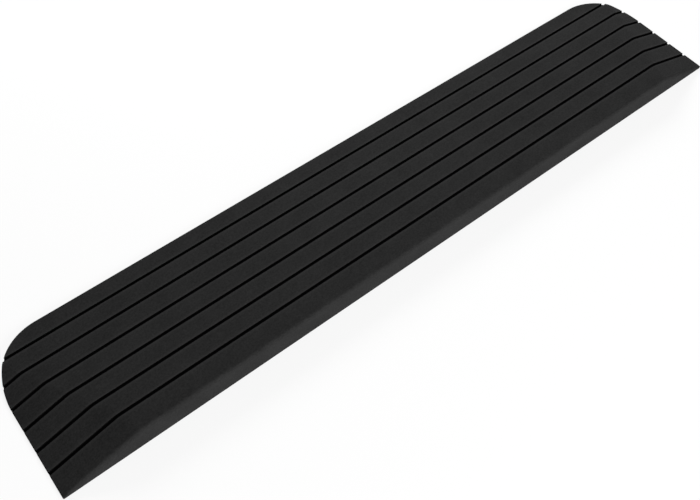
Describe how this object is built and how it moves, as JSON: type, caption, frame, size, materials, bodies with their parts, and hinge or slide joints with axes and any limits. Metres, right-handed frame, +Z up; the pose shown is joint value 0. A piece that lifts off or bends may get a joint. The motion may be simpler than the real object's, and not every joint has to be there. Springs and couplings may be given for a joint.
{
  "type": "threshold ramp",
  "caption": "Solid black rubber threshold ramp with a grooved slope, flared ends and rounded toe corners, taped to the floor against a door sill so that wheels roll over it.",
  "frame": {"origin": "on the floor, at the middle of the base's length and depth", "axes": "+X along the doorway, +Y from the tall heel face down the slope to the thin toe edge, +Z up"},
  "size_m": [1.07, 0.21, 0.0375],
  "materials": {
    "rubber": "matt, fine moulded grain",
    "foam_tape": "matt closed-cell foam",
    "release_liner": "smooth siliconised kraft paper"
  },
  "bodies": {
    "root": {"ramp_body": "rubber", "tape_toe_left": "foam_tape", "tape_toe_right": "foam_tape", "tape_heel_left": "foam_tape", "tape_heel_right": "foam_tape", "liner_toe_left": "release_liner", "liner_toe_right": "release_liner", "liner_heel_left": "release_liner", "liner_heel_right": "release_liner"}
  },
  "joints": []
}
